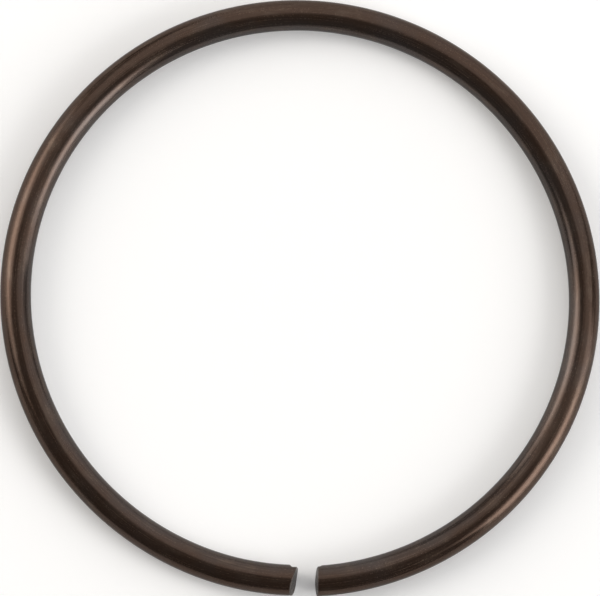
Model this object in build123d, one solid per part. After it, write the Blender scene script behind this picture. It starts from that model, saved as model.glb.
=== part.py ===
from build123d import *
from dataclasses import dataclass
from math import cos, radians, sin
import os

# A snap ring of round spring wire, for a groove turned in a shaft. It lies flat and relaxed,
# as it does before it is sprung over the shaft's end. The origin is the centre of the ring
# at its underside, +Z is the ring's axis, and the gap between its ends is on the -Y side.


@dataclass
class ShearedEnd:
    """One end of the wire, in mm. Shears cut it, so its face is neither flat nor square."""

    side: int  # -1 for the end on the -X side of the gap, +1 for the other
    # The last stretch isn't bent quite as the rest is, so the end stands a little off the
    # round turn: tuck is how much nearer the ring's centre, and less than 0 is further out.
    tuck: float
    tuck_angle: float  # degrees of the turn, up to the middle of the gap
    # How much further from the gap's middle the underside's edge stands than it does on the
    # centreline, at the wire's inner side and at its outer side. Less than 0 stands proud.
    inner_set_back: float
    outer_set_back: float
    # How much further back the top of the wire stands than its underside.
    inner_lean: float
    middle_lean: float
    outer_lean: float
    # The blade pressed a flat into the inner side of the wire, beside the cut.
    press_depth: float
    press_length: float  # of the flat itself
    press_run_out: float  # from the flat to where the wire is round again


# Driving dimensions, in mm.
bore_diameter = 56.1  # inside the relaxed ring
wire_diameter = 3.2
gap_width = 1.93  # between the two ends, at the underside, on the wire's centreline
left_end = ShearedEnd(
    side=-1,
    tuck=0.09,
    tuck_angle=22,
    inner_set_back=-0.26,
    outer_set_back=0.20,
    inner_lean=0.45,
    middle_lean=0.65,
    outer_lean=1.05,
    press_depth=0.30,
    press_length=0.50,
    press_run_out=0.35,
)
right_end = ShearedEnd(
    side=1,
    tuck=-0.05,
    tuck_angle=30,
    inner_set_back=0.14,
    outer_set_back=0.05,
    inner_lean=0.02,
    middle_lean=0.05,
    outer_lean=0.05,
    press_depth=0.15,
    press_length=0.15,
    press_run_out=0.50,
)

# Sizes that follow from those, in mm.
wire_radius = wire_diameter / 2
inner_radius = bore_diameter / 2
centreline_radius = inner_radius + wire_radius
outer_radius = inner_radius + wire_diameter
overrun = wire_radius  # how far the gap's cutter stands out past the wire, on every side
seam_angle = -45  # from the wire's underside, so that its seam meets no corner of an end


def section(turn_angle):
    """The wire's round section, that many degrees round the turn from the gap's middle."""
    circle = Rot(0, 90, 0) * Rot(0, 0, seam_angle) * Circle(wire_radius)
    return Rot(0, 0, turn_angle) * Pos(0, -centreline_radius, wire_radius) * circle


def round_turn():
    """The truly round part of the coil."""
    start = section(right_end.tuck_angle)
    return revolve(start, Axis.Z, 360 - right_end.tuck_angle - left_end.tuck_angle)


def end_stretch(end):
    """The last stretch of the coil, as far as the middle of the gap."""
    turn_angle = end.side * end.tuck_angle
    centre_offset = end.tuck / (1 - cos(radians(turn_angle)))
    toward = radians(turn_angle - 90)
    centre = (centre_offset * cos(toward), centre_offset * sin(toward), 0)
    return revolve(section(turn_angle), Axis(centre, (0, 0, 1)), -turn_angle)


def end_outline(end, height):
    """One end's edge as seen from above, at one height, from inside the ring outwards."""
    rise = height / wire_diameter
    middle = gap_width / 2 + rise * end.middle_lean
    inner = gap_width / 2 + end.inner_set_back + rise * end.inner_lean
    outer = gap_width / 2 + end.outer_set_back + rise * end.outer_lean
    flat_start = inner + end.press_length
    # The run-out's own line goes on into the bore, until it is well clear of the wire.
    clear = flat_start + end.press_run_out * (1 + overrun / end.press_depth)
    outline = [
        (clear, overrun - inner_radius),
        (flat_start, -inner_radius - end.press_depth),
        (inner, -inner_radius - end.press_depth),
        (middle, -centreline_radius),
        (outer, -outer_radius),
        (outer, -outer_radius - overrun),
    ]
    return [(end.side * x, y + end.tuck) for x, y in outline]


def gap_outline(height):
    """The whole space between the two ends at one height, as a flat face."""
    left = end_outline(left_end, height)
    right = end_outline(right_end, height)
    return Pos(0, 0, height) * make_face(Polyline(*left, *reversed(right), close=True))


def gap_cutter():
    """The space between the ends, as a solid that stands out above and below the wire."""
    return loft([gap_outline(-overrun), gap_outline(wire_diameter + overrun)], ruled=True)


def snap_ring():
    """The finished ring: one length of wire, coiled once and sheared off at both ends."""
    coil = round_turn() + end_stretch(left_end) + end_stretch(right_end)
    ring = coil - gap_cutter()
    ring.label = "snap_ring"
    return ring


os.makedirs("parts", exist_ok=True)
export_step(snap_ring(), "parts/snap_ring.step")
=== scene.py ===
from dataclasses import dataclass
from math import cos, pi, radians, sin, tan

import bpy
import numpy as np
from mathutils import Matrix, Vector, noise


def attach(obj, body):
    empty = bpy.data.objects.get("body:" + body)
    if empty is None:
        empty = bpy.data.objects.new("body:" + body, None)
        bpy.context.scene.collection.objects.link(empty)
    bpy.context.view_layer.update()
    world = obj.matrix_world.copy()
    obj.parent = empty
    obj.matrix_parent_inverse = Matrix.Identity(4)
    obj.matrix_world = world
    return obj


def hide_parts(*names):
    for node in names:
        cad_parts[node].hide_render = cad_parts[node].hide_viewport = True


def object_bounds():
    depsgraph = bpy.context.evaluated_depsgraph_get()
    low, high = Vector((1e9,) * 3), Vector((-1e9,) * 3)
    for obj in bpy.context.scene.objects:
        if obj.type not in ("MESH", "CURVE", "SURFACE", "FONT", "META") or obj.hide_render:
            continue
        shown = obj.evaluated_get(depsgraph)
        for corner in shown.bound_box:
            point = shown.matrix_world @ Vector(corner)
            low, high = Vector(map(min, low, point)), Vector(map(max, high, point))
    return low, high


# A snap ring of round, oxide-blackened spring wire, lying flat on a pale floor. The packed
# part gives the size of the ring and of its wire. One finer mesh stands for it, with the
# marks that drawing and shearing leave. Sizes are in metres. Turn angles are in radians
# round the ring, from the middle of the gap on the -Y side, towards +X.

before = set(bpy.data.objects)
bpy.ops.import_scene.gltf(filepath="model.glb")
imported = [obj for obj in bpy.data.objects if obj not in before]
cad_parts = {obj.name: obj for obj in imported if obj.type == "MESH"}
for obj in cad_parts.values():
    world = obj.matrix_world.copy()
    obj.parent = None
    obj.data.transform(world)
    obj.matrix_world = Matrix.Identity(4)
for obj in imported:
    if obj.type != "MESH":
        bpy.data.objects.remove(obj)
cad_low, cad_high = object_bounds()

MM = 0.001
NODE = "snap_ring"


@dataclass
class ShearedEnd:
    """One end of the wire, with the sizes that the part has there."""

    side: int  # -1 for the end on the -X side of the gap, +1 for the other
    tuck: float  # how much nearer the ring's centre it stands than the round turn does
    tuck_angle: float  # the stretch of the turn over which it comes in
    # At the wire's inner side, its centreline and its outer side: how far the underside
    # stands back from the gap, and how much further back the top stands.
    set_backs: tuple
    leans: tuple
    # The flat that the blade pressed into the inner side of the wire.
    press_depth: float
    press_length: float
    press_run_out: float


@dataclass
class SoftPanel:
    """A soft light that faces the ring. Its place, roll and size are angles, in degrees."""

    name: str
    azimuth: float
    elevation: float
    roll: float
    width: float
    height: float
    radiance: float
    color: tuple


GAP_WIDTH = 1.93 * MM
LEFT_END = ShearedEnd(
    side=-1,
    tuck=0.09 * MM,
    tuck_angle=radians(22),
    set_backs=(-0.26 * MM, 0, 0.20 * MM),
    leans=(0.45 * MM, 0.65 * MM, 1.05 * MM),
    press_depth=0.30 * MM,
    press_length=0.50 * MM,
    press_run_out=0.35 * MM,
)
RIGHT_END = ShearedEnd(
    side=1,
    tuck=-0.05 * MM,
    tuck_angle=radians(30),
    set_backs=(0.14 * MM, 0, 0.05 * MM),
    leans=(0.02 * MM, 0.05 * MM, 0.05 * MM),
    press_depth=0.15 * MM,
    press_length=0.15 * MM,
    press_run_out=0.50 * MM,
)

WIRE_RADIUS = (cad_high.z - cad_low.z) / 2
CENTRELINE_RADIUS = cad_high.y - WIRE_RADIUS

# How finely the wire is divided.
ROUND_STEPS = 64  # round its section
TURN_STEPS = 1200  # along it
NEAR_END = 2.4 * MM  # this close to an end, the steps along it are shorter
NEAR_STEPS = 40
NEAR_BUNCHING = 1.3  # 1 spaces those steps evenly, and more draws them towards the end
FACE_STEPS = 30  # from the middle of an end's face to its edge
EDGE_STEPS = 4  # over the edge
ROUND_ANGLE = np.arange(ROUND_STEPS) * 2 * pi / ROUND_STEPS

# The rounded edge between an end's face and the wire, and where the face's marks stop.
BLADE_EDGE = 0.07 * MM  # its radius at the wire's inner side, where the blade went in
FAR_EDGE = 0.03 * MM
CUT_REACH = 0.5 * BLADE_EDGE  # how far past the edge the bare cut steel fades out
RIM_FADE = 0.125  # share of the way in from the rim over which a face's roughness grows

# Marks in the surface: scores and a tear across an end's face, and low waves on the wire.
SCORE_SIZE = 0.2 * MM
SCORE_PACE = 0.12  # how fast the scores change along themselves, against across
SCORE_DEPTH = 0.015 * MM
TEAR_SIZE = 0.5 * MM
TEAR_DEPTH = 0.06 * MM
WAVE_LENGTH = 9 * MM
WAVE_WIDTH = 1 * MM
WAVE_DEPTH = 0.006 * MM

# The texture map, before it is scaled to a square of 1: rows that each hold a stretch of the
# wire, then a disc for each end's face.
MAP_ROWS = 4
MAP_MARGIN = 1.2 * MM
WIRE_GIRTH = 2 * pi * WIRE_RADIUS
FACE_ON_MAP = 2.6 * WIRE_RADIUS

# Colours, as linear red, green and blue.
OXIDE_BROWN = (0.060, 0.036, 0.025, 1)
OXIDE_GREY = (0.062, 0.052, 0.048, 1)
OXIDE_RUBBED = (0.105, 0.075, 0.056, 1)
BARE_SPECK = (0.200, 0.160, 0.130, 1)
CUT_STEEL = (0.088, 0.073, 0.064, 1)

# The studio: soft panels low round the ring, two of them brighter in the middle, and hardly
# any light from elsewhere.
FLOOR_HALF = 2.0
FLOOR_LIFT = 0.15  # glow added to the floor, where the camera or a reflection sees it
ROOM_LIGHT = 0.05
PANEL_DISTANCE = 1.0
WHITE = (1, 0.99, 0.98)
WARM_WHITE = (1, 0.96, 0.91)
PANELS = [
    SoftPanel(
        name="left",
        azimuth=158,
        elevation=27,
        roll=-24,
        width=46,
        height=50,
        radiance=2.4,
        color=WARM_WHITE,
    ),
    SoftPanel(
        name="left_core",
        azimuth=157,
        elevation=27,
        roll=-24,
        width=28,
        height=26,
        radiance=3.2,
        color=WARM_WHITE,
    ),
    SoftPanel(
        name="right",
        azimuth=339,
        elevation=26,
        roll=0,
        width=42,
        height=46,
        radiance=2.8,
        color=WHITE,
    ),
    SoftPanel(
        name="right_core",
        azimuth=334,
        elevation=27,
        roll=0,
        width=28,
        height=24,
        radiance=3.8,
        color=WHITE,
    ),
    SoftPanel(
        name="back",
        azimuth=64,
        elevation=42,
        roll=0,
        width=84,
        height=78,
        radiance=1.1,
        color=WHITE,
    ),
]

# The camera looks at the ring from nearly overhead. Its angles are in degrees.
CAMERA_DISTANCE = 0.9
CAMERA_AZIMUTH = 237.07
CAMERA_TILT = 8.85  # from straight overhead
CAMERA_ROLL = 0.94
VIEW_WIDTH = 62.37 * MM
AIM_OFFSET = (-0.066 * MM, -0.108 * MM, 0)  # right and up in the picture, from the ring's centre


def smooth_step(x):
    x = np.clip(x, 0, 1)
    return x * x * (3 - 2 * x)


def fractal_noise(points, octaves):
    """Smooth noise about 0 at each point, with lumps about 1 across."""
    fall_off = 1.0
    finer_each_time = 2.0
    return np.array([noise.fractal(Vector(p), fall_off, finer_each_time, octaves) for p in points])


def tuck_at(turn):
    """How much nearer the ring's centre than the round turn the centreline is."""
    total = np.zeros_like(turn)
    for end in (LEFT_END, RIGHT_END):
        from_gap = turn if end.side > 0 else 2 * pi - turn
        into_stretch = np.clip(end.tuck_angle - from_gap, 0, None)
        total += end.tuck * (1 - np.cos(into_stretch)) / (1 - cos(end.tuck_angle))
    return total


def face_turn(end, out, up):
    """The turn angle at which an end's face has these points of the wire's section."""
    rise = (WIRE_RADIUS + up) / (2 * WIRE_RADIUS)
    places = (end.press_depth - WIRE_RADIUS, 0, WIRE_RADIUS)
    back = np.interp(out, places, end.set_backs) + rise * np.interp(out, places, end.leans)
    turn = np.arcsin((GAP_WIDTH / 2 + back) / (CENTRELINE_RADIUS - end.tuck + out))
    return turn if end.side > 0 else 2 * pi - turn


def outline(end, behind):
    """The wire's section, as ways out and up from its centreline, that far behind a face."""
    run_out = (behind - end.press_length) / end.press_run_out
    flat = end.press_depth * (1 - smooth_step(run_out)) - WIRE_RADIUS
    out = np.maximum(WIRE_RADIUS * np.cos(ROUND_ANGLE), flat)
    return out, WIRE_RADIUS * np.sin(ROUND_ANGLE)


def fracture(end, out, up):
    """How deep an end's face lies: scored by the blade first, then torn."""

    def lumps(pace, size, octaves):
        points = np.stack([out * pace / size, up / size, np.full_like(out, end.side)], -1)
        return fractal_noise(points, octaves)

    torn = smooth_step(0.5 + out / WIRE_RADIUS)
    scores = SCORE_DEPTH * lumps(SCORE_PACE, SCORE_SIZE, octaves=3)
    tear = TEAR_DEPTH * lumps(1, TEAR_SIZE, octaves=4)
    return (1 - torn) * scores + torn * tear


# A loop is a ring of points round the wire. Each of its rows is a point's turn angle, way out
# and way up from the wire's centreline, and share of bare cut steel.


def face_loop(end, share, depth):
    """A loop on an end's face, that share of the way from its middle to its rim, that deep."""
    rim_out, rim_up = outline(end, 0)
    out, up = rim_out * share, rim_up * share
    depth = depth + smooth_step((1 - share) / RIM_FADE) * fracture(end, out, up)
    turn = face_turn(end, out, up) + end.side * depth / CENTRELINE_RADIUS
    return np.stack([turn, out, up, np.ones_like(out)], -1)


def near_loop(end, edge, share):
    """A loop on the wire, that share of the way from an end's edge to the even steps."""
    behind = edge + (NEAR_END - edge) * share
    out, up = outline(end, behind)
    rim_turn = face_turn(end, *outline(end, 0))
    start = rim_turn + (rim_turn.mean() - rim_turn) * smooth_step(share)
    turn = start + end.side * behind / CENTRELINE_RADIUS
    cut = np.clip(1 - (behind - edge) / CUT_REACH, 0, 1)
    return np.stack([turn, out, up, cut], -1)


def end_loops(end):
    """The loops over one end, from the middle of its face out to the round wire."""
    edge = FAR_EDGE + (BLADE_EDGE - FAR_EDGE) * (1 - np.cos(ROUND_ANGLE)) / 2
    loops = []
    for step in range(1, FACE_STEPS + 1):
        loops.append(face_loop(end, (1 - edge / WIRE_RADIUS) * step / FACE_STEPS, 0))
    for step in range(1, EDGE_STEPS + 1):
        angle = step * pi / 2 / (EDGE_STEPS + 1)
        share = 1 - edge / WIRE_RADIUS * (1 - sin(angle))
        loops.append(face_loop(end, share, edge * (1 - cos(angle))))
    for step in range(NEAR_STEPS + 1):
        loops.append(near_loop(end, edge, (step / NEAR_STEPS) ** NEAR_BUNCHING))
    return loops


def turn_loops(first_turn, last_turn):
    """The loops along the rest of the wire, between the two ends' own loops."""
    out, up = WIRE_RADIUS * np.cos(ROUND_ANGLE), WIRE_RADIUS * np.sin(ROUND_ANGLE)
    turns = np.linspace(first_turn, last_turn, TURN_STEPS + 1)[1:-1]
    return [np.stack([np.full_like(out, t), out, up, np.zeros_like(out)], -1) for t in turns]


def drawn_relief(turn, out, up):
    """How far in the wire's surface lies from a true round, as drawing and coiling leave it."""
    along = turn * CENTRELINE_RADIUS / WAVE_LENGTH
    wave = fractal_noise(np.stack([along, out / WAVE_WIDTH, up / WAVE_WIDTH], -1), octaves=2)
    return WAVE_DEPTH * np.clip(0.5 + 0.5 * wave, 0, 1)


def disc_map(end, loops_out, round_step):
    """Where points of an end's face lie on the texture, that many loops out from its middle."""
    angle = round_step * 2 * pi / ROUND_STEPS
    radius = WIRE_RADIUS * loops_out / FACE_STEPS
    middle = MAP_MARGIN + FACE_ON_MAP / 2 * (2 + end.side)
    row = MAP_ROWS * (WIRE_GIRTH + MAP_MARGIN) + FACE_ON_MAP / 2
    return np.stack([middle + end.side * radius * np.cos(angle), row + radius * np.sin(angle)], -1)


def strip_map(along, round_step):
    """Where faces of the round wire lie on the texture: each whole, in the row of its middle."""
    along = along - along.min()
    row_length = along.max() / MAP_ROWS
    row = np.floor(along.mean(-1, keepdims=True) / row_length).clip(0, MAP_ROWS - 1)
    x = MAP_MARGIN + along - row * row_length
    y = row * (WIRE_GIRTH + MAP_MARGIN) + WIRE_GIRTH * round_step / ROUND_STEPS
    return np.stack([x, y], -1)


def wall_faces(turn, loop_count):
    """The four-sided faces between the loops, and their corners' places on the texture."""
    k, j = (grid.ravel() for grid in np.mgrid[0 : loop_count - 1, 0:ROUND_STEPS])
    loop = np.stack([k, k + 1, k + 1, k], -1)
    step = np.stack([j, j, j + 1, j + 1], -1)
    faces = loop * ROUND_STEPS + step % ROUND_STEPS
    places = strip_map(turn[faces] * CENTRELINE_RADIUS, step)
    for end, loops_out in ((RIGHT_END, loop + 1), (LEFT_END, loop_count - loop)):
        on_face = loops_out.max(-1) <= FACE_STEPS + EDGE_STEPS
        places[on_face] = disc_map(end, loops_out, step)[on_face]
    return faces, places


def fan_faces(end, loop, middle):
    """The three-sided faces round the middle of an end's face, and their corners' places."""
    step = np.arange(ROUND_STEPS)[:, None] + np.array([0, 0, 1])
    faces = loop * ROUND_STEPS + step % ROUND_STEPS
    faces[:, 0] = middle
    places = disc_map(end, np.array([0, 1, 1]), step)
    return faces[:, :: end.side], places[:, :: end.side]


def ring_mesh():
    """The whole ring as one closed mesh, laid out for textures in a map named OFBake."""
    right, left = end_loops(RIGHT_END), end_loops(LEFT_END)
    loops = right + turn_loops(right[-1][0, 0], left[-1][0, 0]) + left[::-1]
    middles = [left[0].mean(0)[None], right[0].mean(0)[None]]
    turn, out, up, cut = np.concatenate(loops + middles).T
    keep = 1 - (1 - cut) * drawn_relief(turn, out, up) / WIRE_RADIUS
    out, up = out * keep, up * keep
    radius = CENTRELINE_RADIUS - tuck_at(turn) + out
    points = np.stack([radius * np.sin(turn), -radius * np.cos(turn), WIRE_RADIUS + up], -1)

    left_middle, right_middle = len(points) - 2, len(points) - 1
    walls, wall_places = wall_faces(turn, len(loops))
    left_fan, left_places = fan_faces(LEFT_END, len(loops) - 1, left_middle)
    right_fan, right_places = fan_faces(RIGHT_END, 0, right_middle)
    mesh = bpy.data.meshes.new(NODE)
    mesh.from_pydata(points.tolist(), [], walls.tolist() + left_fan.tolist() + right_fan.tolist())
    mesh.shade_smooth()

    parts = (wall_places, left_places, right_places)
    places = np.concatenate([part.reshape(-1, 2) for part in parts])
    places /= places.max() + MAP_MARGIN
    mesh.uv_layers.new(name="OFBake").uv.foreach_set("vector", places.ravel())
    straight = np.stack([turn * CENTRELINE_RADIUS, out, up], -1)
    straight_wire = mesh.attributes.new("straight_wire", "FLOAT_VECTOR", "POINT")
    straight_wire.data.foreach_set("vector", straight.ravel())
    mesh.attributes.new("cut", "FLOAT", "POINT").data.foreach_set("value", cut)
    return mesh


def add_node(material, kind, inputs=(), **settings):
    """A shader node of that kind, with its inputs set to values or linked to other nodes."""
    tree = material.node_tree
    made = tree.nodes.new("ShaderNode" + kind)
    for name, value in settings.items():
        setattr(made, name, value)
    for name, value in dict(inputs).items():
        if isinstance(value, bpy.types.NodeSocket):
            tree.links.new(value, made.inputs[name])
        else:
            made.inputs[name].default_value = value
    return made


def drawn_out(material, where, pace):
    """Those places at that pace along the wire, so that noise there is drawn out along it."""
    inputs = {0: where, 1: (pace, 1, 1)}
    return add_node(material, "VectorMath", inputs, operation="MULTIPLY").outputs[0]


def noise_value(material, where, size, detail, roughness=0.5):
    """Noise with blotches of that size."""
    inputs = {"Vector": where, "Scale": 1 / size, "Detail": detail, "Roughness": roughness}
    return add_node(material, "TexNoise", inputs).outputs["Fac"]


def fit_range(material, value, limits, becomes):
    """value, spread so that its two limits become those other two, and held within them."""
    inputs = {
        "Value": value,
        "From Min": limits[0],
        "From Max": limits[1],
        "To Min": becomes[0],
        "To Max": becomes[1],
    }
    return add_node(material, "MapRange", inputs).outputs["Result"]


def calculate(material, operation, a, b):
    return add_node(material, "Math", {0: a, 1: b}, operation=operation).outputs[0]


def mix_colors(material, share, a, b, blend_type="MIX"):
    # The Mix node's sockets for colours are 6, 7 and, going out, 2.
    inputs = {0: share, 6: a, 7: b}
    return add_node(material, "Mix", inputs, data_type="RGBA", blend_type=blend_type).outputs[2]


def new_material(name):
    material = bpy.data.materials.new(name)
    material.use_nodes = True
    material.node_tree.nodes.clear()
    return material


def oxide_black_wire():
    """Drawn wire with a dark brown oxide on it, rubbed a little, and bare where it is cut."""
    m = new_material("oxide_black_wire")
    where = add_node(m, "Attribute", attribute_name="straight_wire").outputs["Vector"]
    cut = add_node(m, "Attribute", attribute_name="cut").outputs["Fac"]
    out_way = add_node(m, "SeparateXYZ", {0: where}).outputs["Y"]

    # The marks, and what most of their values lie between.
    rub_way = drawn_out(m, where, 0.35)
    draw_lines = noise_value(m, drawn_out(m, where, 0.02), size=0.14 * MM, detail=2)
    grain = noise_value(m, where, size=0.13 * MM, detail=3, roughness=0.6)
    pits = noise_value(m, rub_way, size=0.05 * MM, detail=2, roughness=0.6)
    rubbed = noise_value(m, rub_way, size=0.9 * MM, detail=4, roughness=0.6)
    mottle = noise_value(m, where, size=4.5 * MM, detail=4, roughness=0.55)
    speckle = calculate(m, "ADD", draw_lines, calculate(m, "MULTIPLY", grain, 0.5))
    most_noise = (0.3, 0.7)
    most_speckle = (0.5, 1.0)

    # The inner side of the ring is greyer. Only the tops of the rubbing and the grain show.
    inner = fit_range(m, out_way, (-WIRE_RADIUS, 0), (0.9, 0))
    greyness = calculate(m, "ADD", inner, fit_range(m, mottle, most_noise, (-0.3, 0.3)))
    oxide = mix_colors(m, greyness, OXIDE_BROWN, OXIDE_GREY)
    oxide = mix_colors(m, fit_range(m, rubbed, (0.52, 0.75), (0, 0.6)), oxide, OXIDE_RUBBED)
    oxide = mix_colors(m, fit_range(m, grain, (0.60, 0.75), (0, 0.35)), oxide, BARE_SPECK)
    speckle_shade = fit_range(m, speckle, most_speckle, (0.84, 1.18))
    oxide = mix_colors(m, 1.0, oxide, speckle_shade, "MULTIPLY")
    color = mix_colors(m, fit_range(m, cut, (0, 1), (0, 0.8)), oxide, CUT_STEEL)
    pit_shade = fit_range(m, pits, most_noise, (0.88, 1.12))
    color = mix_colors(m, 1.0, color, pit_shade, "MULTIPLY")

    roughness = fit_range(m, speckle, most_speckle, (0.15, 0.30))
    roughness = calculate(m, "ADD", roughness, fit_range(m, pits, most_noise, (-0.04, 0.04)))
    roughness = calculate(m, "ADD", roughness, calculate(m, "MULTIPLY", cut, 0.08))
    height = calculate(m, "ADD", speckle, calculate(m, "MULTIPLY", pits, 0.35))
    bump = add_node(m, "Bump", {"Height": height, "Strength": 1.0, "Distance": 0.0035 * MM})
    tangent = add_node(m, "Tangent", direction_type="RADIAL", axis="Z")
    inputs = {
        "Base Color": color,
        "Metallic": 0.68,
        "IOR": 1.6,
        "Specular Tint": (0.5, 0.5, 0.5, 1),
        "Roughness": roughness,
        "Anisotropic": 0.35,
        "Anisotropic Rotation": 0.25,
        "Tangent": tangent.outputs[0],
        "Normal": bump.outputs[0],
    }
    shader = add_node(m, "BsdfPrincipled", inputs)
    add_node(m, "OutputMaterial", {"Surface": shader.outputs[0]})
    return m


def pale_floor():
    """A matt white board, which the camera sees as white where no shadow lies on it."""
    m = new_material("pale_floor")
    board = add_node(m, "BsdfPrincipled", {"Base Color": (0.86, 0.86, 0.86, 1), "Roughness": 0.55})
    path = add_node(m, "LightPath")
    seen = calculate(m, "MAXIMUM", path.outputs["Is Camera Ray"], path.outputs["Is Glossy Ray"])
    seen = calculate(m, "MAXIMUM", seen, path.outputs["Is Transmission Ray"])
    glow = add_node(m, "Emission", {"Strength": calculate(m, "MULTIPLY", seen, FLOOR_LIFT)})
    both = add_node(m, "AddShader", {0: board.outputs[0], 1: glow.outputs[0]})
    add_node(m, "OutputMaterial", {"Surface": both.outputs[0]})
    return m


def add_object(name, data):
    made = bpy.data.objects.new(name, data)
    bpy.context.scene.collection.objects.link(made)
    return made


def make_ring():
    ring = add_object("snap_ring_wire", ring_mesh())
    ring.data.materials.append(oxide_black_wire())
    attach(ring, "root")
    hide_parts(NODE)


def make_floor():
    mesh = bpy.data.meshes.new("floor")
    corners = [(x * FLOOR_HALF, y * FLOOR_HALF, 0) for x, y in ((-1, -1), (1, -1), (1, 1), (-1, 1))]
    mesh.from_pydata(corners, [], [(0, 1, 2, 3)])
    mesh.materials.append(pale_floor())
    add_object("floor", mesh)


def direction(azimuth, elevation):
    """The way to a point at that azimuth, counted from +X towards +Y, and elevation."""
    a, e = radians(azimuth), radians(elevation)
    return Vector((cos(a) * cos(e), sin(a) * cos(e), sin(e)))


def make_panel(panel):
    """One soft panel's light, facing the ring's centre."""
    lamp = bpy.data.lights.new(panel.name, "AREA")
    lamp.shape = "RECTANGLE"
    lamp.size = 2 * PANEL_DISTANCE * tan(radians(panel.width / 2))
    lamp.size_y = 2 * PANEL_DISTANCE * tan(radians(panel.height / 2))
    lamp.energy = panel.radiance * pi * lamp.size * lamp.size_y
    lamp.color = panel.color
    made = add_object(panel.name, lamp)
    way = direction(panel.azimuth, panel.elevation)
    facing = way.to_track_quat("Z", "Y").to_matrix() @ Matrix.Rotation(radians(panel.roll), 3, "Z")
    made.matrix_world = Matrix.Translation(way * PANEL_DISTANCE) @ facing.to_4x4()
    made.visible_camera = False


def make_world():
    world = bpy.data.worlds.new("studio")
    world.use_nodes = True
    world.node_tree.nodes["Background"].inputs["Color"].default_value = (1, 1, 1, 1)
    world.node_tree.nodes["Background"].inputs["Strength"].default_value = ROOM_LIGHT
    bpy.context.scene.world = world


def make_camera():
    """The camera of the photograph: nearly overhead, a little to the front left."""
    lens = bpy.data.cameras.new("camera")
    lens.sensor_width = 36
    lens.lens = lens.sensor_width * CAMERA_DISTANCE / VIEW_WIDTH
    lens.clip_start = 0.01
    lens.clip_end = 10
    camera = add_object("camera", lens)
    back = direction(CAMERA_AZIMUTH, 90 - CAMERA_TILT)
    tilted = Vector((0, 0, 1)).rotation_difference(back).to_matrix()
    turned = tilted @ Matrix.Rotation(radians(-CAMERA_ROLL), 3, "Z")
    aim = Vector((0, 0, WIRE_RADIUS)) + turned @ Vector(AIM_OFFSET)
    camera.matrix_world = Matrix.Translation(aim + back * CAMERA_DISTANCE) @ turned.to_4x4()
    bpy.context.scene.camera = camera


make_ring()
make_floor()
for panel in PANELS:
    make_panel(panel)
make_world()
make_camera()
bpy.context.scene.view_settings.view_transform = "Standard"
